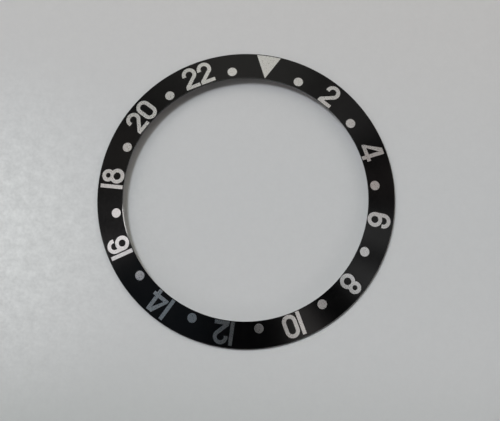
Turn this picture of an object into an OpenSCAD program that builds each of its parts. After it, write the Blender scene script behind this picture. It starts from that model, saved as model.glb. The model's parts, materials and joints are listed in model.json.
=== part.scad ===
/* [Ring] */
// outside diameter of the ring
rim_diameter = 37.5; // [34:0.1:42]
// width of the sloped face from the hole to the rim, seen from above
face_width = 3.35; // [3.2:0.05:4]
// slope of the face, in degrees down from the hole to the rim
face_angle = 25; // [18:1:30]
// thickness of the metal, square to the face
sheet_thickness = 0.5; // [0.4:0.02:0.7]
// height of the upright rim as a share of the metal's upright thickness
rim_share = 0.72; // [0.6:0.02:0.85]
// width of the small bevels on the face's edges and round the foot
edge_break = 0.04; // [0.02:0.01:0.05]

/* [Black face] */
// depth of the black layer, square to the face
coat_depth = 0.08; // [0.07:0.01:0.12]
// how far the silver marks lie below the black surface
mark_drop = 0.015; // [0.01:0.005:0.03]

/* [Numerals] */
// height of a digit as a share of the face's width
digit_share = 0.872; // [0.8:0.01:0.89]
// gap between the hole's edge and the foot of a digit
digit_margin = 0.09; // [0.07:0.01:0.12]
// width of a round digit as a share of its height
digit_aspect = 0.63; // [0.58:0.01:0.66]
// width of the line that draws the digits
stroke = 0.48; // [0.36:0.02:0.5]
// gap between the two digits of a numeral
digit_gap = 0.17; // [0.12:0.01:0.24]
// how far clockwise the numerals that start with a one are set, because their left side looks empty
one_shift = 0.08; // [0:0.01:0.12]

/* [Dots and triangle] */
// diameter of a dot
dot_diameter = 1.18; // [0.9:0.01:1.4]
// distance from the hole's edge out to the dots' centres
dot_offset = 0.925; // [0.84:0.005:1.2]
// width of the triangle at its outer corners
triangle_width = 3.04; // [2.4:0.04:3.4]
// gap between the triangle's point and the hole's edge
triangle_margin = 0.1; // [0.08:0.01:0.3]
// width of the black line left outside the triangle
triangle_rim = 0.1; // [0.08:0.01:0.2]

/* [Hidden] */
$fn = 96;
rim_radius = rim_diameter / 2;
bore_radius = rim_radius - face_width;
slope = tan(face_angle);
upright = sheet_thickness / cos(face_angle);
rim_height = rim_share * upright;
coat_upright = coat_depth / cos(face_angle);
drop_upright = mark_drop / cos(face_angle);
foot_width = (upright - rim_height) / slope;
ring_height = rim_height + face_width * slope;
// angle between two marks: the scale has 24 places
hour_step = 360 / 24;
// a turned layer closes along a line, which is set here between the 6 and the dot after it
seam_turn = -0.55 * hour_step;
// the digits' half height and half width, in whole thousandths so that straight sides meet arcs exactly
half_height = thousandth(digit_share * face_width / 2);
half_width = thousandth(digit_aspect * half_height);
digit_height = 2 * half_height;
digit_width = 2 * half_width;
digit_radius = bore_radius + digit_margin + half_height;
arc_height = half_height - half_width;
inner_radius = half_width - stroke;
// the four is wider than the round digits, and its stem stands right of the middle
four_width = 1.2 * digit_width;
four_stem = 0.15 * digit_width;
four_bar = -0.325 * digit_height;
// the eight's upper ring is smaller than its lower one
eight_lower = 0.515 * digit_width;
eight_upper = 0.43 * digit_width;
dot_radius_at = bore_radius + dot_offset;
triangle_outer = rim_radius - triangle_rim;
triangle_point = bore_radius + triangle_margin;

function thousandth(x) = round(1000 * x) / 1000;

// height of the finished face at a given radius
function face_z(r) = rim_height + (rim_radius - r) * slope;

// the layer that the silver marks fill, from just below the black surface down to the blank
module mark_layer() {
  rotate([0, 0, seam_turn])
    rotate_extrude()
      polygon([
        [bore_radius, face_z(bore_radius) - coat_upright],
        [rim_radius, face_z(rim_radius) - coat_upright],
        [rim_radius, face_z(rim_radius) - drop_upright],
        [bore_radius, face_z(bore_radius) - drop_upright]
      ]);
}

// the whole black layer, with a small bevel at the hole and at the rim
module black_layer() {
  rotate([0, 0, seam_turn])
    rotate_extrude()
      polygon([
        [bore_radius, face_z(bore_radius) - coat_upright],
        [rim_radius, face_z(rim_radius) - coat_upright],
        [rim_radius, face_z(rim_radius) - edge_break / 2],
        [rim_radius - edge_break, face_z(rim_radius - edge_break)],
        [bore_radius + edge_break, face_z(bore_radius + edge_break)],
        [bore_radius, face_z(bore_radius + edge_break) - edge_break / 2]
      ]);
}

// puts a flat drawing at an hour of the scale, its foot towards the hole
module at_hour(hour, radius) {
  rotate([0, 0, -hour * hour_step])
    translate([0, radius, 0])
      children();
}

module digit_0() {
  difference() {
    union() {
      translate([0, arc_height]) circle(r = half_width);
      translate([0, -arc_height]) circle(r = half_width);
      square([digit_width, 2 * arc_height], center = true);
    }
    translate([0, arc_height]) circle(r = inner_radius);
    translate([0, -arc_height]) circle(r = inner_radius);
    square([2 * inner_radius, 2 * arc_height], center = true);
  }
}

module digit_1() {
  square([stroke, digit_height], center = true);
}

// a round top on a block with a slanted side and a flat foot, cut back to an even line with a short bend
module digit_2() {
  slant = sqrt(0.5);
  far = 2 * digit_width;
  tip_y = arc_height - 0.1 * digit_width;
  foot_y = stroke - half_height;
  // the slanted sides cross the arcs at a slight angle, a hair inside their tangents
  outer_x = 0.985 * slant * half_width;
  outer_y = arc_height - outer_x;
  inner_x = 0.97 * slant * inner_radius;
  inner_y = arc_height - inner_x;
  bend = 0.31 * digit_width;
  bend_in = 0.97 * bend;
  bend_x = bend_in - half_width;
  bend_y = inner_y - inner_x + bend_x - 2 * slant * bend_in;
  difference() {
    union() {
      translate([0, arc_height]) circle(r = half_width);
      polygon([
        [-half_width, -half_height],
        [half_width, -half_height],
        [half_width, foot_y],
        [outer_x - outer_y + foot_y, foot_y],
        [outer_x, outer_y],
        [0, arc_height],
        [-half_width, arc_height]
      ]);
    }
    translate([0, arc_height]) circle(r = inner_radius);
    difference() {
      polygon([
        [-far, tip_y],
        [0, tip_y],
        [inner_x, inner_y],
        [bend_x - slant * bend_in, bend_y + slant * bend_in],
        [bend_x, bend_y],
        [-far, bend_y]
      ]);
      translate([bend_x, bend_y]) circle(r = bend);
    }
  }
}

module digit_4() {
  left = -four_width / 2;
  right = four_width / 2;
  stem_right = four_stem + stroke;
  bar_top = four_bar + stroke;
  // corners of the outline, then of the hole in the middle
  difference() {
    polygon([
      [four_stem - 0.65 * stroke, half_height],
      [stem_right, half_height],
      [stem_right, bar_top],
      [right, bar_top],
      [right, four_bar],
      [stem_right, four_bar],
      [stem_right, -half_height],
      [four_stem, -half_height],
      [four_stem, four_bar],
      [left, four_bar],
      [left, four_bar + 0.6 * stroke]
    ]);
    polygon([
      [four_stem, bar_top],
      [four_stem, half_height - 1.15 * stroke],
      [left + 1.08 * stroke, bar_top]
    ]);
  }
}

// the outline of a nought, cut back to a bowl and a hook
module digit_6() {
  far = 2 * digit_width;
  tip_y = arc_height - 0.07 * digit_width;
  difference() {
    union() {
      translate([0, arc_height]) circle(r = half_width);
      translate([0, -arc_height]) circle(r = half_width);
      square([digit_width, 2 * arc_height], center = true);
    }
    translate([0, -arc_height]) circle(r = inner_radius);
    difference() {
      union() {
        translate([0, arc_height]) circle(r = inner_radius);
        polygon([
          [-inner_radius, arc_height],
          [-inner_radius, -arc_height],
          [far, -arc_height],
          [far, tip_y],
          [0, tip_y],
          [0, arc_height]
        ]);
      }
      translate([0, -arc_height]) circle(r = half_width);
    }
  }
}

module digit_8() {
  upper_y = half_height - eight_upper;
  lower_y = eight_lower - half_height;
  difference() {
    union() {
      translate([0, upper_y]) circle(r = eight_upper);
      translate([0, lower_y]) circle(r = eight_lower);
    }
    translate([0, upper_y]) circle(r = eight_upper - stroke);
    translate([0, lower_y]) circle(r = eight_lower - stroke);
  }
}

module digit(value) {
  if (value == 0) digit_0();
  if (value == 1) digit_1();
  if (value == 2) digit_2();
  if (value == 4) digit_4();
  if (value == 6) digit_6();
  if (value == 8) digit_8();
}

function width_of(value) =
  value == 1 ? stroke : value == 4 ? four_width : value == 8 ? 2 * eight_lower : digit_width;

// the flat drawing of a numeral, centred on its hour
module numeral_flat(hour) {
  tens = floor(hour / 10);
  units = hour - 10 * tens;
  tens_room = tens == 0 ? 0 : width_of(tens) + digit_gap;
  whole = tens_room + width_of(units);
  shift = tens == 1 ? one_shift : 0;
  if (tens > 0)
    translate([shift + (width_of(tens) - whole) / 2, 0]) digit(tens);
  translate([shift + (whole - width_of(units)) / 2, 0]) digit(units);
}

// the flat drawing of the triangle, its base on a circle round the ring's centre
module triangle_flat() {
  corner_y = sqrt(triangle_outer * triangle_outer - triangle_width * triangle_width / 4);
  reach = 1.1;
  intersection() {
    circle(r = triangle_outer);
    polygon([
      [0, triangle_point],
      [triangle_width / 2 * reach, triangle_point + (corner_y - triangle_point) * reach],
      [-triangle_width / 2 * reach, triangle_point + (corner_y - triangle_point) * reach]
    ]);
  }
}

// every mark as an upright column, tall enough to pass through the face
module column() {
  linear_extrude(height = ring_height + 1)
    children();
}

module numeral_column(hour) {
  at_hour(hour, digit_radius) column() numeral_flat(hour);
}

module dot_column(hour) {
  at_hour(hour, dot_radius_at) column() circle(d = dot_diameter);
}

module triangle_column() {
  column() triangle_flat();
}

// a mark is the part of the face's layer that its column holds
module mark() {
  color("silver")
    intersection() {
      mark_layer();
      children();
    }
}

// dished metal blank: sloped face, upright rim and wall, flat foot and a hollow underside
module base_ring() {
  color("lightgray")
    rotate_extrude()
      polygon([
        [rim_radius - foot_width, 0],
        [rim_radius - edge_break, 0],
        [rim_radius, edge_break],
        [rim_radius, face_z(rim_radius) - coat_upright],
        [bore_radius, face_z(bore_radius) - coat_upright],
        [bore_radius, face_z(bore_radius) - upright]
      ]);
}

// the black layer covers the blank's face and is open where the marks are
module black_face() {
  color("black")
    difference() {
      black_layer();
      for (hour = [2:2:22])
        numeral_column(hour);
      for (hour = [1:2:23])
        dot_column(hour);
      triangle_column();
    }
}

module triangle_24() { mark() triangle_column(); }
module numeral_02() { mark() numeral_column(2); }
module numeral_04() { mark() numeral_column(4); }
module numeral_06() { mark() numeral_column(6); }
module numeral_08() { mark() numeral_column(8); }
module numeral_10() { mark() numeral_column(10); }
module numeral_12() { mark() numeral_column(12); }
module numeral_14() { mark() numeral_column(14); }
module numeral_16() { mark() numeral_column(16); }
module numeral_18() { mark() numeral_column(18); }
module numeral_20() { mark() numeral_column(20); }
module numeral_22() { mark() numeral_column(22); }
module dot_01() { mark() dot_column(1); }
module dot_03() { mark() dot_column(3); }
module dot_05() { mark() dot_column(5); }
module dot_07() { mark() dot_column(7); }
module dot_09() { mark() dot_column(9); }
module dot_11() { mark() dot_column(11); }
module dot_13() { mark() dot_column(13); }
module dot_15() { mark() dot_column(15); }
module dot_17() { mark() dot_column(17); }
module dot_19() { mark() dot_column(19); }
module dot_21() { mark() dot_column(21); }
module dot_23() { mark() dot_column(23); }

base_ring();
black_face();
triangle_24();
numeral_02();
numeral_04();
numeral_06();
numeral_08();
numeral_10();
numeral_12();
numeral_14();
numeral_16();
numeral_18();
numeral_20();
numeral_22();
dot_01();
dot_03();
dot_05();
dot_07();
dot_09();
dot_11();
dot_13();
dot_15();
dot_17();
dot_19();
dot_21();
dot_23();
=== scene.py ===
"""Looks of the watch bezel insert: a dished black ring with a silver 24-hour scale, on white paper."""

import json
import math
from itertools import count

import bpy
import numpy as np
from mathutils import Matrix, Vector
from mathutils.geometry import delaunay_2d_cdt


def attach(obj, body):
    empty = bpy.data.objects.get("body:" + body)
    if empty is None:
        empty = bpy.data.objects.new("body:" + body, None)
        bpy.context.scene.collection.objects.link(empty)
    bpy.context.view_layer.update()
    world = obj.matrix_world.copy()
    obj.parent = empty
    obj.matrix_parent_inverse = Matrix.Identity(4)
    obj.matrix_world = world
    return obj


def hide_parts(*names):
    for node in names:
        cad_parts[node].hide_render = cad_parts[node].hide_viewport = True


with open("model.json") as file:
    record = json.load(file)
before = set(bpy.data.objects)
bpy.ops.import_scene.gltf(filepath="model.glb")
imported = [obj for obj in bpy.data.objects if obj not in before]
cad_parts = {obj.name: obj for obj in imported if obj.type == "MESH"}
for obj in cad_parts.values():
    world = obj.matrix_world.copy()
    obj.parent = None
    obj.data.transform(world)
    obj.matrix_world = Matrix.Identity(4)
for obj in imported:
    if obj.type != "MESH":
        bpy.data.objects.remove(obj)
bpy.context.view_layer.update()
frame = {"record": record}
MM = 0.001

# Sizes in millimetres, as in the part's source; the rim and the hole come from the record's mounts
MOUNTS = {m["name"]: m["dims"] for m in frame["record"]["mounts"]}
RIM = MOUNTS["rim"]["r_mm"]
HOLE = MOUNTS["bore"]["r_mm"]
FACE_ANGLE = math.radians(25)
SHEET = 0.5
RIM_SHARE = 0.72
COAT = 0.08
MARK_DROP = 0.015
DIGIT_SHARE = 0.872
DIGIT_MARGIN = 0.09
DIGIT_ASPECT = 0.63
STROKE = 0.48
DIGIT_GAP = 0.17
ONE_SHIFT = 0.08
DOT_DIAMETER = 1.18
DOT_OFFSET = 0.925
TRIANGLE_WIDTH = 3.04
TRIANGLE_MARGIN = 0.1
TRIANGLE_RIM = 0.1

# Worked out from the sizes above
SLOPE = math.tan(FACE_ANGLE)
UPRIGHT = SHEET / math.cos(FACE_ANGLE)
RIM_HEIGHT = RIM_SHARE * UPRIGHT
COAT_UPRIGHT = COAT / math.cos(FACE_ANGLE)
DROP_UPRIGHT = MARK_DROP / math.cos(FACE_ANGLE)
FACE_WIDTH = RIM - HOLE
FOOT = RIM - (UPRIGHT - RIM_HEIGHT) / SLOPE
HALF_HEIGHT = DIGIT_SHARE * FACE_WIDTH / 2
HALF_WIDTH = DIGIT_ASPECT * HALF_HEIGHT
ARC_Y = HALF_HEIGHT - HALF_WIDTH
INNER = HALF_WIDTH - STROKE
DIGIT_RADIUS = HOLE + DIGIT_MARGIN + HALF_HEIGHT
DOT_RADIUS = HOLE + DOT_OFFSET
HOUR_STEP = math.radians(360 / 24)

# The four is wider than the round digits, and the eight's upper ring is smaller than its lower one
FOUR_RIGHT = 1.2 * HALF_WIDTH
FOUR_STEM = 0.3 * HALF_WIDTH
FOUR_BAR = -0.65 * HALF_HEIGHT
EIGHT_UPPER = 0.86 * HALF_WIDTH
EIGHT_LOWER = 1.03 * HALF_WIDTH

# How far the rounds on the edges reach along each side, and the width of the painted highlight round a
# mark
RIM_ROUND = 0.06
HOLE_ROUND = 0.03
FOOT_ROUND = 0.04
MARK_HIGHLIGHT_WIDTH = 0.07

# Where the face's flat slope ends and the rounds on its edges begin
FACE_OUTER = RIM - RIM_ROUND * math.cos(FACE_ANGLE)
FACE_INNER = HOLE + HOLE_ROUND * math.cos(FACE_ANGLE)

# How finely the meshes are cut: counts of points, rings and steps, and lengths in millimetres
TURNS = 720
ARC_POINTS = 72
BASE_STEPS = 16
ROUND_STEPS = 6
GRID_TURNS = 360
GRID_RINGS = 8
STRAIGHT_STEP = 0.2
SHORTEST = 0.005
MERGE = 1e-5
ON_CIRCLE = 10 * MERGE

# Keeps the inset of a sharp corner short
LEAST_STRETCH = 0.3


def face_z(r):
    return RIM_HEIGHT + (RIM - r) * SLOPE


def coat_z(r):
    return face_z(r) - COAT_UPRIGHT


# Flat outlines: each is an anticlockwise array of points, and shapes are cut and joined from them
def arc(x, y, r, first, last, steps):
    turns = np.linspace(first, last, steps + 1)
    return [(x + r * math.cos(t), y + r * math.sin(t)) for t in turns]


def circle(x, y, r, points=ARC_POINTS):
    return np.array(arc(x, y, r, 0, 2 * math.pi, points)[:-1])


def polygon(corners):
    points = []
    for a, b in zip(corners, corners[1:] + corners[:1]):
        steps = max(1, math.ceil(math.dist(a, b) / STRAIGHT_STEP))
        points += [np.array(a) + (np.array(b) - a) * i / steps for i in range(steps)]
    return np.array(points)


def stadium(r):
    upper = arc(0, ARC_Y, r, 0, math.pi, ARC_POINTS // 2)
    return polygon(upper + [(-x, -y) for x, y in upper])


def join(*shapes):
    return ("join", *shapes)


def cut(*shapes):
    return ("cut", *shapes)


def digit_0():
    return cut(stadium(HALF_WIDTH), stadium(INNER))


def digit_1():
    side = STROKE / 2
    return polygon([
        (-side, -HALF_HEIGHT),
        (side, -HALF_HEIGHT),
        (side, HALF_HEIGHT),
        (-side, HALF_HEIGHT),
    ])


def digit_2():
    """A round top on a block with a slanted side and a flat foot, cut back to a line with a bend."""
    slant = math.sqrt(0.5)
    far = 4 * HALF_WIDTH
    tip_y = ARC_Y - 0.2 * HALF_WIDTH
    foot_y = STROKE - HALF_HEIGHT
    # The slanted sides cross the arcs at a slight angle, a hair inside their tangents
    outer = 0.985 * slant * HALF_WIDTH
    inner = 0.97 * slant * INNER
    bend = 0.62 * HALF_WIDTH
    bend_in = 0.97 * bend
    bend_x = bend_in - HALF_WIDTH
    bend_y = ARC_Y - 2 * inner + bend_x - 2 * slant * bend_in
    block = polygon([
        (-HALF_WIDTH, -HALF_HEIGHT),
        (HALF_WIDTH, -HALF_HEIGHT),
        (HALF_WIDTH, foot_y),
        (2 * outer - ARC_Y + foot_y, foot_y),
        (outer, ARC_Y - outer),
        (0, ARC_Y),
        (-HALF_WIDTH, ARC_Y),
    ])
    gap = polygon([
        (-far, tip_y),
        (0, tip_y),
        (inner, ARC_Y - inner),
        (bend_x - slant * bend_in, bend_y + slant * bend_in),
        (bend_x, bend_y),
        (-far, bend_y),
    ])
    return cut(
        join(circle(0, ARC_Y, HALF_WIDTH), block),
        circle(0, ARC_Y, INNER),
        cut(gap, circle(bend_x, bend_y, bend)),
    )


def digit_4():
    """A stem, a bar and a slanted side, with a hole between them."""
    stem_right = FOUR_STEM + STROKE
    bar_top = FOUR_BAR + STROKE
    slant_x = FOUR_STEM - 0.65 * STROKE
    slant_y = FOUR_BAR + 0.6 * STROKE
    window_x = 1.08 * STROKE - FOUR_RIGHT
    window_y = HALF_HEIGHT - 1.15 * STROKE
    outside = polygon([
        (slant_x, HALF_HEIGHT),
        (-FOUR_RIGHT, slant_y),
        (-FOUR_RIGHT, FOUR_BAR),
        (FOUR_STEM, FOUR_BAR),
        (FOUR_STEM, -HALF_HEIGHT),
        (stem_right, -HALF_HEIGHT),
        (stem_right, FOUR_BAR),
        (FOUR_RIGHT, FOUR_BAR),
        (FOUR_RIGHT, bar_top),
        (stem_right, bar_top),
        (stem_right, HALF_HEIGHT),
    ])
    window = polygon([
        (FOUR_STEM, bar_top),
        (FOUR_STEM, window_y),
        (window_x, bar_top),
    ])
    return cut(outside, window)


def digit_6():
    """The outline of a nought, cut back to a bowl and a hook."""
    far = 4 * HALF_WIDTH
    tip_y = ARC_Y - 0.14 * HALF_WIDTH
    gap = polygon([
        (-INNER, ARC_Y),
        (-INNER, -ARC_Y),
        (far, -ARC_Y),
        (far, tip_y),
        (0, tip_y),
        (0, ARC_Y),
    ])
    return cut(
        stadium(HALF_WIDTH),
        circle(0, -ARC_Y, INNER),
        cut(join(circle(0, ARC_Y, INNER), gap), circle(0, -ARC_Y, HALF_WIDTH)),
    )


def digit_8():
    upper_y = HALF_HEIGHT - EIGHT_UPPER
    lower_y = EIGHT_LOWER - HALF_HEIGHT
    return cut(
        join(circle(0, upper_y, EIGHT_UPPER), circle(0, lower_y, EIGHT_LOWER)),
        circle(0, upper_y, EIGHT_UPPER - STROKE),
        circle(0, lower_y, EIGHT_LOWER - STROKE),
    )


DIGITS = {0: digit_0, 1: digit_1, 2: digit_2, 4: digit_4, 6: digit_6, 8: digit_8}
DIGIT_WIDTHS = {1: STROKE, 4: 2 * FOUR_RIGHT, 8: 2 * EIGHT_LOWER}


def width_of(value):
    return DIGIT_WIDTHS.get(value, 2 * HALF_WIDTH)


def outlines_in(shape):
    """The outlines that a shape is made from, in the order in which holds() meets them."""
    if isinstance(shape, np.ndarray):
        return [shape]
    return [outline for part in shape[1:] for outline in outlines_in(part)]


def holds(shape, inside, order):
    """Whether a spot is in the shape, from the numbers of the outlines that it lies inside."""
    if isinstance(shape, np.ndarray):
        return next(order) in inside
    found = [holds(part, inside, order) for part in shape[1:]]
    if shape[0] == "join":
        return any(found)
    return found[0] and not any(found[1:])


def triangulate(outlines, loose=()):
    """Cuts the plane into triangles that keep every outline as edges.

    Gives the points, the triangles, the numbers of the outlines round each triangle, and for each point
    the numbers of the given points that it stands for.
    """
    points = []
    faces = []
    for outline in outlines:
        face = list(range(len(points), len(points) + len(outline)))
        x, y = np.transpose(outline)
        clockwise = np.sum(x * np.roll(y, -1) - y * np.roll(x, -1)) < 0
        faces.append(face[::-1] if clockwise else face)
        points += [Vector(p) for p in outline]
    points += [Vector(p) for p in loose]
    flat, _, triangles, origins, _, inside = delaunay_2d_cdt(points, [], faces, 0, MERGE)
    return np.array([tuple(p) for p in flat]), triangles, [set(found) for found in inside], origins


def edge_of(triangles):
    """The edges round some anticlockwise triangles, from start to end, with those on their left."""
    edges = {(t[i - 1], t[i]) for t in triangles for i in range(3)}
    return {a: b for a, b in edges if (b, a) not in edges}


def loops_of(shape):
    """A shape's edge as closed loops, anticlockwise outside and clockwise round its windows."""
    flat, triangles, inside, _ = triangulate(outlines_in(shape))
    kept = [t for t, found in zip(triangles, inside) if holds(shape, found, count())]
    following = edge_of(kept)
    loops = []
    while following:
        loop = [min(following)]
        while following[loop[-1]] != loop[0]:
            loop.append(following.pop(loop[-1]))
        following.pop(loop[-1])
        spots = flat[loop]
        loops.append(spots[np.linalg.norm(spots - np.roll(spots, 1, 0), axis=1) > SHORTEST])
    return loops


def inset(loop, distance):
    """The loop moved to its left by a distance, with its corners kept."""
    ahead = np.roll(loop, -1, 0) - loop
    ahead /= np.linalg.norm(ahead, axis=1)[:, None]
    normal = np.stack([-ahead[:, 1], ahead[:, 0]], 1)
    before = np.roll(normal, 1, 0)
    stretch = 1 + np.sum(normal * before, 1)
    return loop + (normal + before) * (distance / np.maximum(stretch, LEAST_STRETCH))[:, None]


def at_hour(loops, hour, radius, across=0.0):
    """Loops drawn upright round the origin, moved to their hour on the ring."""
    turn = hour * HOUR_STEP
    spin = np.array([[math.cos(turn), -math.sin(turn)], [math.sin(turn), math.cos(turn)]])
    return [(loop + (across, radius)) @ spin for loop in loops]


def numeral_loops(hour, digits):
    tens, units = divmod(hour, 10)
    room = width_of(tens) + DIGIT_GAP if tens else 0
    whole = room + width_of(units)
    shift = ONE_SHIFT if tens == 1 else 0
    loops = at_hour(digits[units], hour, DIGIT_RADIUS, shift + (whole - width_of(units)) / 2)
    if tens:
        loops += at_hour(digits[tens], hour, DIGIT_RADIUS, shift + (width_of(tens) - whole) / 2)
    return loops


def triangle_loops():
    base = RIM - TRIANGLE_RIM
    half = math.asin(TRIANGLE_WIDTH / 2 / base)
    top = arc(0, 0, base, math.pi / 2 - half, math.pi / 2 + half, BASE_STEPS)
    return [polygon([(0, HOLE + TRIANGLE_MARGIN)] + top)]


def all_marks():
    """Every mark's node name, with its loops on the ring."""
    digits = {value: loops_of(shape()) for value, shape in DIGITS.items()}
    marks = {"triangle_24": triangle_loops()}
    for hour in range(2, 24, 2):
        marks[f"numeral_{hour:02d}"] = numeral_loops(hour, digits)
    for hour in range(1, 24, 2):
        marks[f"dot_{hour:02d}"] = at_hour([circle(0, 0, DOT_DIAMETER / 2)], hour, DOT_RADIUS)
    return marks


# Meshes: each corner of each face has its own true normal, so that slim triangles shade like wide ones
class Solid:
    """Gathers a closed mesh in millimetres and makes a Blender object of it.

    Each point also has a light for the painted highlight: 1 on the edge of a mark, and 0 elsewhere.
    """

    def __init__(self):
        self.points = []
        self.light = []
        self.faces = []
        self.normals = []
        self.slots = []

    def add_points(self, points, light=0.0):
        """Adds points and gives the number of the first one."""
        self.points += [tuple(p) for p in points]
        self.light += list(np.broadcast_to(light, len(points)))
        return len(self.points) - len(points)

    def add_face(self, face, normals, slot=0):
        self.faces.append(tuple(int(i) for i in face))
        self.normals += [tuple(n) for n in normals]
        self.slots.append(slot)

    def build(self, name, materials):
        mesh = bpy.data.meshes.new(name)
        mesh.from_pydata([Vector(p) * MM for p in self.points], [], self.faces)
        for material in materials:
            mesh.materials.append(material)
        mesh.polygons.foreach_set("material_index", self.slots)
        mesh.shade_smooth()
        mesh.normals_split_custom_set(self.normals)
        mesh.attributes.new("mark_rim", "FLOAT", "POINT").data.foreach_set("value", self.light)
        piece = bpy.data.objects.new(name, mesh)
        bpy.context.scene.collection.objects.link(piece)
        return piece


def add_layer(solid, flat, triangles, drop, light):
    """The coat over some triangles of a flat drawing, sunk by a drop.

    Gives the numbers of its top's and its underside's points in the solid, each by its number in the
    drawing.
    """
    used = sorted({i for t in triangles for i in t})
    spots = flat[used]
    radii = np.linalg.norm(spots, axis=1)
    top = solid.add_points(np.column_stack([spots, face_z(radii) - drop]), light[used])
    low = solid.add_points(np.column_stack([spots, coat_z(radii)]))
    out = spots * math.sin(FACE_ANGLE) / radii[:, None]
    normals = np.column_stack([out, np.full(len(used), math.cos(FACE_ANGLE))])
    order = {old: new for new, old in enumerate(used)}
    for t in triangles:
        face = np.array([order[i] for i in t])
        solid.add_face(top + face, normals[face])
        solid.add_face(low + face[::-1], -normals[face[::-1]])
    tops = {old: top + new for old, new in order.items()}
    lows = {old: low + new for old, new in order.items()}
    return tops, lows


def add_walls(solid, flat, edges, tops, lows):
    """Upright walls along some edges, which have the piece on their left."""
    for a, b in edges:
        x, y = flat[b] - flat[a]
        out = (y / math.hypot(x, y), -x / math.hypot(x, y), 0)
        solid.add_face((lows[a], lows[b], tops[b], tops[a]), [out] * 4)


def rounded(corners):
    """A profile's sides with its corners rounded, as (start, end, normal at start, normal at end, slot).

    A corner is (radius, height, reach of its round along each side, slot of the side after it). The
    profile is closed and runs anticlockwise.
    """
    spots = np.array([corner[:2] for corner in corners])
    ahead = np.roll(spots, -1, 0) - spots
    ahead /= np.linalg.norm(ahead, axis=1)[:, None]
    normals = np.stack([ahead[:, 1], -ahead[:, 0]], 1)
    sides = []
    for i, (_, _, reach, slot) in enumerate(corners):
        following = (i + 1) % len(corners)
        next_reach = corners[following][2]
        start = spots[i] + ahead[i] * reach
        end = spots[following] - ahead[i] * next_reach
        sides.append((start, end, normals[i], normals[i], slot))
        if next_reach:
            (x, y), (u, v) = ahead[i], ahead[following]
            bend = math.atan2(x * v - y * u, x * u + y * v)
            radius = next_reach / math.tan(bend / 2)
            first = math.atan2(normals[i][1], normals[i][0])
            turns = np.linspace(first, first + bend, ROUND_STEPS + 1)
            around = np.stack([np.cos(turns), np.sin(turns)], 1)
            points = end - radius * normals[i] + radius * around
            for k in range(ROUND_STEPS):
                sides.append((points[k], points[k + 1], around[k], around[k + 1], slot))
    return sides


def add_turned(solid, sides, first=None, last=None):
    """Sweeps a chain of sides round the axis; it starts and ends on known rings of points, or closes."""
    turns = np.arange(TURNS) * 2 * math.pi / TURNS
    spin = np.stack([np.cos(turns), np.sin(turns)], 1)

    def ring(spot):
        start = solid.add_points(np.column_stack([spin * spot[0], np.full(TURNS, spot[1])]))
        return list(range(start, start + TURNS))

    def facing(turn, normal):
        return (*(spin[turn] * normal[0]), normal[1])

    opening = first or ring(sides[0][0])
    near = opening
    for number, (_, end, normal, far_normal, slot) in enumerate(sides):
        if number < len(sides) - 1:
            far = ring(end)
        else:
            far = last or opening
        for k in range(TURNS):
            m = (k + 1) % TURNS
            corners = (near[k], near[m], far[m], far[k])
            pairs = ((k, normal), (m, normal), (m, far_normal), (k, far_normal))
            solid.add_face(corners, [facing(*pair) for pair in pairs], slot)
        near = far


def place(piece, node):
    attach(piece, "root")
    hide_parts(node)


def grid_spots():
    """Spots on rings across the face, which keep its triangles from growing long."""
    rings = []
    for row in range(GRID_RINGS):
        radius = FACE_INNER + (FACE_OUTER - FACE_INNER) * (row + 0.5) / GRID_RINGS
        rings.append(circle(0, 0, radius, GRID_TURNS))
    return np.concatenate(rings)


def draw_face(marks):
    """One flat drawing of the whole face, in which the marks and the black share their edges.

    Gives its points, a 1 for each that is on a mark's edge and a 0 for the others, which place the
    painted highlight, and the triangles of each node.
    """
    outlines = [circle(0, 0, FACE_OUTER, TURNS), circle(0, 0, FACE_INNER, TURNS)]
    numbers = {}
    on_edge = set()
    for name, loops in marks.items():
        first = sum(len(outline) for outline in outlines)
        numbers[name] = set(range(len(outlines), len(outlines) + len(loops)))
        outlines += loops
        on_edge |= set(range(first, first + sum(len(loop) for loop in loops)))
        # The inset loops set how far the painted highlight reaches into a mark
        outlines += [inset(loop, MARK_HIGHLIGHT_WIDTH) for loop in loops]
    flat, triangles, inside, origins = triangulate(outlines, grid_spots())
    light = np.array([float(any(i in on_edge for i in found)) for found in origins])
    groups = {name: [] for name in ["black_face", *marks]}
    for triangle, found in zip(triangles, inside):
        if 0 in found and 1 not in found:
            owner = next((name for name in marks if len(found & numbers[name]) % 2), "black_face")
            groups[owner].append(triangle)
    return flat, light, groups


def ring_numbers(flat, radius):
    """The numbers of the points on a circle of the flat drawing, in order round it."""
    on_it = np.flatnonzero(np.abs(np.linalg.norm(flat, axis=1) - radius) < ON_CIRCLE)
    turns = np.arctan2(flat[on_it, 1], flat[on_it, 0]) % (2 * math.pi)
    return on_it[np.argsort(np.round(turns * TURNS / (2 * math.pi)) % TURNS)]


def make_black_face(flat, triangles, materials):
    """The black layer with its windows, and with its rim and its hole's edge rounded."""
    face = Solid()
    tops, lows = add_layer(face, flat, triangles, 0, np.zeros(len(flat)))
    rim_ring = ring_numbers(flat, FACE_OUTER)
    hole_ring = ring_numbers(flat, FACE_INNER)
    border = {*rim_ring, *hole_ring}
    edges = [(a, b) for a, b in edge_of(triangles).items() if a not in border]
    add_walls(face, flat, edges, tops, lows)
    sides = rounded([
        (HOLE, coat_z(HOLE), 0, 0),
        (RIM, coat_z(RIM), 0, 0),
        (RIM, face_z(RIM), RIM_ROUND, 0),
        (HOLE, face_z(HOLE), HOLE_ROUND, 0),
    ])
    # The sides are the underside, the rim's wall and round, the top, and the hole's round and wall. The
    # drawing is the top and most of the underside, whose strips beside the rim and the hole are swept
    under = sides[0]
    top = 2 + ROUND_STEPS
    add_turned(face, [under, *sides[1:top]], [lows[i] for i in rim_ring], [tops[i] for i in rim_ring])
    hole_wall = sides[top + 1 :]
    add_turned(face, [*hole_wall, under], [tops[i] for i in hole_ring], [lows[i] for i in hole_ring])
    place(face.build("black_face_layer", materials), "black_face")


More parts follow.
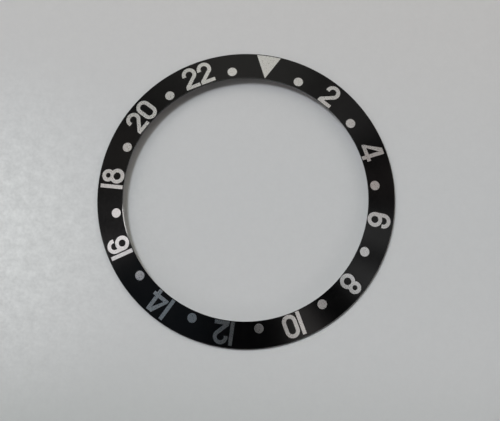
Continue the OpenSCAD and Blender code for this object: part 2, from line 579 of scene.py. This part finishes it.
def make_mark(name, flat, light, triangles, materials):
    """A mark that fills its window, a little lower than the black round it."""
    mark = Solid()
    tops, lows = add_layer(mark, flat, triangles, DROP_UPRIGHT, light)
    add_walls(mark, flat, edge_of(triangles).items(), tops, lows)
    place(mark.build(name + "_fill", materials), name)


def make_face_and_marks(coat_materials, mark_materials):
    marks = all_marks()
    flat, light, groups = draw_face(marks)
    make_black_face(flat, groups["black_face"], coat_materials)
    for name in marks:
        make_mark(name, flat, light, groups[name], mark_materials)


def make_base(materials):
    """The dished blank: bare metal below, and blackened on its rim and on the wall of its hole."""
    low = face_z(HOLE) - UPRIGHT
    base = Solid()
    add_turned(base, rounded([
        (FOOT, 0, FOOT_ROUND, 0),
        (RIM, 0, FOOT_ROUND, 1),
        (RIM, coat_z(RIM), 0, 1),
        (HOLE, coat_z(HOLE), 0, 1),
        (HOLE, low, FOOT_ROUND, 0),
    ]))
    place(base.build("base_ring_blank", materials), "base_ring")


# Nodes: a source is a plain value or another node's output
def fill(tree, socket, source):
    if isinstance(source, bpy.types.NodeSocket):
        tree.links.new(source, socket)
    else:
        socket.default_value = source


def add_node(tree, kind, sources=(), **settings):
    """A node with some settings, and with a source for each of some sockets."""
    node = tree.nodes.new(kind)
    for name, value in settings.items():
        setattr(node, name, value)
    for socket, source in sources:
        fill(tree, node.inputs[socket], source)
    return node


def vector_node(tree, operation, first, second):
    sources = [(0, first), (1, second)]
    return add_node(tree, "ShaderNodeVectorMath", sources, operation=operation)


def scaled(tree, vector, factor):
    """A vector or a colour times a number."""
    sources = [(0, vector), ("Scale", factor)]
    return add_node(tree, "ShaderNodeVectorMath", sources, operation="SCALE").outputs[0]


def calc(tree, operation, first, second):
    return add_node(tree, "ShaderNodeMath", [(0, first), (1, second)], operation=operation).outputs[0]


def spread(tree, factor, start, end, low=0.0, high=1.0):
    """A number that goes smoothly from low to high while the factor goes from start to end."""
    sources = [("Value", factor), ("From Min", start), ("From Max", end)]
    sources += [("To Min", low), ("To Max", high)]
    node = add_node(tree, "ShaderNodeMapRange", sources, interpolation_type="SMOOTHSTEP")
    return node.outputs["Result"]


def between(tree, factor, first, second):
    """A colour between two."""
    node = add_node(tree, "ShaderNodeMix", data_type="RGBA")
    sockets = {socket.identifier: socket for socket in node.inputs}
    fill(tree, sockets["Factor_Float"], factor)
    for name, colour in (("A_Color", first), ("B_Color", second)):
        plain = not isinstance(colour, bpy.types.NodeSocket)
        fill(tree, sockets[name], (*colour, 1) if plain else colour)
    return next(socket for socket in node.outputs if socket.identifier == "Result_Color")


# Places on the ring and the paper, in millimetres
def spot_in_mm(tree):
    return scaled(tree, add_node(tree, "ShaderNodeTexCoord").outputs["Object"], 1 / MM)


def distance_from(tree, x, y):
    """How far a spot is from an upright line, in millimetres."""
    flat = vector_node(tree, "MULTIPLY", spot_in_mm(tree), (1, 1, 0)).outputs[0]
    return vector_node(tree, "DISTANCE", flat, (x, y, 0)).outputs["Value"]


def towards(tree, azimuth):
    """How far a spot lies towards an azimuth, in millimetres."""
    way = (math.cos(azimuth), math.sin(azimuth), 0)
    return vector_node(tree, "DOT_PRODUCT", spot_in_mm(tree), way).outputs["Value"]


# Patterns, with sizes in millimetres
def grain(tree, size, detail=2.0):
    """Noise from 0 to 1 whose patches are about this wide."""
    sources = [("Vector", spot_in_mm(tree)), ("Scale", 1 / size), ("Detail", detail)]
    return add_node(tree, "ShaderNodeTexNoise", sources).outputs["Fac"]


def turned(tree, size):
    """Noise from 0 to 1 in rings round the axis, as a lathe leaves them, about this far apart."""
    sources = [("W", distance_from(tree, 0, 0)), ("Scale", 1 / size), ("Detail", 2.0)]
    return add_node(tree, "ShaderNodeTexNoise", sources, noise_dimensions="1D").outputs["Fac"]


# Noise keeps near its middle, so a pattern takes its whole range from one of these stretches of it
PATCHES = (0.35, 0.65)
STAINS = (0.35, 0.7)
SPECKS = (0.3, 0.7)


def patchy(tree, first, second, size):
    """A colour that wanders between two, in soft patches."""
    return between(tree, spread(tree, grain(tree, size), *PATCHES), first, second)


def uneven(tree, low, high, size):
    """A number that wanders between two, in small specks."""
    return spread(tree, grain(tree, size), *SPECKS, low, high)


def relief(tree, height, depth):
    """A normal from a height, with the depth of its relief in millimetres."""
    sources = [("Height", height), ("Distance", depth * MM)]
    return add_node(tree, "ShaderNodeBump", sources).outputs["Normal"]


# Materials, with linear colours
def new_material(name):
    """A material, its node tree and its shader."""
    material = bpy.data.materials.new(name)
    material.use_nodes = True
    tree = material.node_tree
    return material, tree, tree.nodes["Principled BSDF"]


def feed(tree, shader, **sources):
    """Gives the shader's sockets, named with _ for a space, a source each."""
    for name, source in sources.items():
        fill(tree, shader.inputs[name.replace("_", " ")], source)


# The black coat, and the stretch of the hole's edge that is rubbed bare, which has a ragged outer side
COAT_COLOURS = ((0.0024, 0.0024, 0.0027), (0.0036, 0.0035, 0.0037))
WORN_COLOUR = (0.95, 0.94, 0.92)
WORN_ROUGHNESS = 0.3
WORN_AZIMUTH = math.radians(199.5)
WORN_SPREAD = math.radians(10.5)
WORN_WIDTH = 0.1
WORN_RAGGED = 0.03
WORN_FADE = 0.01


def worn_line(tree):
    """1 where the hole's edge is rubbed bare: a sliver at the scale's left, pointed at both ends."""
    radius = distance_from(tree, 0, 0)
    along = calc(tree, "DIVIDE", towards(tree, WORN_AZIMUTH), radius)
    ends = spread(tree, along, math.cos(WORN_SPREAD), 1)
    past = calc(tree, "SUBTRACT", radius, calc(tree, "MULTIPLY", ends, WORN_WIDTH))
    ragged = calc(tree, "ADD", past, calc(tree, "MULTIPLY", grain(tree, size=0.25), WORN_RAGGED))
    middle = HOLE + WORN_RAGGED / 2
    return calc(tree, "MULTIPLY", ends, spread(tree, ragged, middle + WORN_FADE, middle - WORN_FADE))


def black_coat(name, worn=False):
    """Satin black oxide over turned metal: very deep, with a soft sheen and a fine grain."""
    material, tree, shader = new_material(name)
    colour = patchy(tree, *COAT_COLOURS, size=1.5)
    roughness = uneven(tree, low=0.14, high=0.18, size=0.3)
    if worn:
        bare = worn_line(tree)
        colour = between(tree, bare, colour, WORN_COLOUR)
        roughness = calc(tree, "MAXIMUM", roughness, calc(tree, "MULTIPLY", bare, WORN_ROUGHNESS))
        feed(tree, shader, Metallic=bare)
    height = calc(tree, "ADD", grain(tree, size=0.06), turned(tree, size=0.08))
    normal = relief(tree, height, depth=0.0001)
    feed(tree, shader, Base_Color=colour, Roughness=roughness, IOR=1.42, Normal=normal)
    return material


SILVER_COLOURS = ((0.87, 0.87, 0.865), (0.91, 0.91, 0.905))
# The painted highlight's colour at each mark's edge
SILVER_PAINTED_HIGHLIGHT = (0.99, 0.99, 0.99)


def silver_mark():
    """Satin aluminium with a fine grain, and a painted highlight along the edge of each mark."""
    material, tree, shader = new_material("silver_marks")
    # Painted highlight: each mark brightens towards its edge
    rim = add_node(tree, "ShaderNodeAttribute", attribute_name="mark_rim").outputs["Fac"]
    colour = between(tree, rim, patchy(tree, *SILVER_COLOURS, size=0.25), SILVER_PAINTED_HIGHLIGHT)
    roughness = uneven(tree, low=0.27, high=0.32, size=0.12)
    height = calc(tree, "ADD", grain(tree, size=0.03), turned(tree, size=0.04))
    normal = relief(tree, height, depth=0.0002)
    feed(tree, shader, Base_Color=colour, Metallic=1, Roughness=roughness, Normal=normal)
    return material


BARE_COLOURS = ((0.32, 0.315, 0.31), (0.42, 0.415, 0.41))
STAIN_COLOUR = (0.27, 0.262, 0.25)


def bare_metal():
    """The dull turned underside, with the rings that the lathe left."""
    material, tree, shader = new_material("bare_metal")
    rings = turned(tree, size=0.15)
    stains = spread(tree, grain(tree, size=2.5, detail=4.0), *STAINS)
    colour = between(tree, stains, between(tree, rings, *BARE_COLOURS), STAIN_COLOUR)
    roughness = uneven(tree, low=0.34, high=0.46, size=0.6)
    height = calc(tree, "ADD", rings, grain(tree, size=0.08))
    normal = relief(tree, height, depth=0.002)
    feed(tree, shader, Base_Color=colour, Metallic=1, Roughness=roughness, Normal=normal)
    return material


# The paper's tones. They shift a little from the back to the middle, and they change with the distance
# towards FRONT, where painted shade darkens the front, and with the distance from POOL, the middle of a
# pool of window light painted on the paper. A pair of distances says where a change starts and where it
# is complete, which the painted pool's change never quite is
PAPER_BACK = (0.712, 0.691, 0.68)
PAPER_MIDDLE = (0.704, 0.701, 0.703)
PAPER_PAINTED_SHADE = (0.475, 0.5, 0.479)
PAPER_PAINTED_LIGHT = (0.89, 0.893, 0.886)
FRONT = math.radians(-87.6)
BACK_TO_MIDDLE = (-32, 0)
MIDDLE_TO_FRONT = (14, 50)
POOL = (-33.0, -9.5)
INTO_POOL = (27, -5)
INTO_GLINTS = (27, 3)

# How strong the paper's flecks are: faint fibres away from the pool, and painted glints on the fibres in
# it
FIBRE_AND_GLINT_DEPTHS = (0.04, 0.36)


def paper():
    """Matt white paper with fine fibres, a painted pool of light with painted glints on the fibres in
    it, and painted shade at the front.
    """
    material, tree, shader = new_material("paper")
    front = towards(tree, FRONT)
    pool = distance_from(tree, *POOL)
    tone = between(tree, spread(tree, front, *BACK_TO_MIDDLE), PAPER_BACK, PAPER_MIDDLE)
    # Painted shade: the paper darkens towards the front
    tone = between(tree, spread(tree, front, *MIDDLE_TO_FRONT), tone, PAPER_PAINTED_SHADE)
    # Painted light: a lighter pool on the paper round POOL
    tone = between(tree, spread(tree, pool, *INTO_POOL), tone, PAPER_PAINTED_LIGHT)
    # Faint fibres everywhere, made stronger in the pool as painted glints
    fibres_and_glints = calc(tree, "ADD", grain(tree, size=1.4), grain(tree, size=0.45, detail=4.0))
    strength = spread(tree, pool, *INTO_GLINTS, *FIBRE_AND_GLINT_DEPTHS)
    fibres_and_glints = calc(tree, "MULTIPLY", calc(tree, "SUBTRACT", fibres_and_glints, 1), strength)
    tone = scaled(tree, tone, calc(tree, "ADD", fibres_and_glints, 1))
    height = calc(tree, "ADD", grain(tree, size=0.5), grain(tree, size=0.15))
    normal = relief(tree, height, depth=0.004)
    feed(tree, shader, Base_Color=tone, Roughness=0.9, Specular_IOR_Level=0.1, Normal=normal)
    return material


# The camera, in millimetres and degrees
CAMERA_PLACE = (13.9515, -32.9879, 275.1972)
CAMERA_TURN = (6.94597, 1.67132, 9.10602)
LENS = 158.4
SENSOR_WIDTH = 36

# The room, in metres, with azimuths from the 6 of the scale
CLIP_START = 0.01
FLOOR_SIZE = 3.0
ROOM = (0.001, 0.001, 0.001)
WHITE = (1, 1, 1)

# Soft round panels: name, azimuth, elevation, spread and soft edge in degrees, level and colour
PANELS = [
    ("top", 111.5, 68.5, 15.5, 2.5, 1.0, (1, 1.1, 0.9)),
    ("back", 107, 45, 22, 16.5, 0.339, (1.06, 1.01, 0.93)),
    ("back_low", 98, 33.5, 19, 2.5, 0.186, (1.01, 1.03, 0.96)),
    ("back_right", 61, 49.5, 15.5, 6, 0.827, (1.04, 1, 0.96)),
    ("right", 4.5, 47, 7.5, 4, 1.02, WHITE),
    ("right_low", 23, 20, 12.5, 7, 0.679, (1.13, 0.96, 0.9)),
    ("front_right", 341, 34, 7, 4, 1.4, WHITE),
    ("front", 305.5, 36, 6.5, 4, 1.7, (1.05, 0.99, 0.96)),
    ("front_left", 232, 39, 17.5, 11.5, 0.099, (0.8, 1, 1.19)),
    ("window", 182, 45.5, 7.5, 3.5, 1.88, (1.05, 0.99, 0.97)),
    ("left_low", 200.5, 26, 9, 2.5, 2.03, (1.04, 0.98, 0.98)),
    ("ceiling", 142.5, 53.5, 12, 2.5, 1.97, (1.02, 1.01, 0.97)),
    ("left", 159, 43.5, 13, 7, 0.33, (1.1, 1, 0.9)),
    ("horizon", 0, -90, 95.5, 1, 0.5, WHITE),
]


def direction(azimuth, elevation):
    a, e = math.radians(azimuth), math.radians(elevation)
    return Vector((math.cos(a) * math.cos(e), math.sin(a) * math.cos(e), math.sin(e)))


def make_camera():
    data = bpy.data.cameras.new("camera")
    data.sensor_width = SENSOR_WIDTH
    data.lens = LENS
    data.clip_start = CLIP_START
    camera = bpy.data.objects.new("camera", data)
    camera.location = Vector(CAMERA_PLACE) * MM
    camera.rotation_euler = [math.radians(a) for a in CAMERA_TURN]
    bpy.context.scene.collection.objects.link(camera)
    bpy.context.scene.camera = camera


def make_floor():
    mesh = bpy.data.meshes.new("paper_floor")
    half = FLOOR_SIZE / 2
    corners = [(-half, -half, 0), (half, -half, 0), (half, half, 0), (-half, half, 0)]
    mesh.from_pydata(corners, [], [(0, 1, 2, 3)])
    mesh.materials.append(paper())
    floor = bpy.data.objects.new("paper_floor", mesh)
    bpy.context.scene.collection.objects.link(floor)


def make_lamp(name, azimuth, elevation, distance, size, power, colour):
    """A round lamp that faces the ring."""
    data = bpy.data.lights.new(name, "AREA")
    data.shape = "DISK"
    data.size = size
    data.energy = power
    data.color = colour
    lamp = bpy.data.objects.new(name, data)
    lamp.location = direction(azimuth, elevation) * distance
    lamp.rotation_euler = direction(azimuth, elevation).to_track_quat("Z", "Y").to_euler()
    bpy.context.scene.collection.objects.link(lamp)


def make_world():
    """A dim room with the soft panels, the last of which is the pale backdrop behind low views."""
    world = bpy.data.worlds.new("studio")
    bpy.context.scene.world = world
    world.use_nodes = True
    tree = world.node_tree
    way = add_node(tree, "ShaderNodeTexCoord").outputs["Generated"]
    light = ROOM
    for _, azimuth, elevation, wide, soft, level, colour in PANELS:
        facing = vector_node(tree, "DOT_PRODUCT", way, direction(azimuth, elevation)).outputs["Value"]
        ends = [math.cos(math.radians(wide + soft)), math.cos(math.radians(wide - soft))]
        panel = scaled(tree, [level * part for part in colour], spread(tree, facing, *ends))
        light = vector_node(tree, "ADD", panel, light).outputs[0]
    tree.links.new(light, tree.nodes["Background"].inputs["Color"])


make_camera()
make_floor()
make_world()
make_lamp(
    "key",
    azimuth=147,
    elevation=68.5,
    distance=0.6,
    size=0.09,
    power=1.15,
    colour=(0.93, 0.99, 1.08),
)
make_base([bare_metal(), black_coat("black_edge")])
make_face_and_marks([black_coat("black_face", worn=True)], [silver_mark()])

bpy.context.scene.view_settings.view_transform = "Standard"
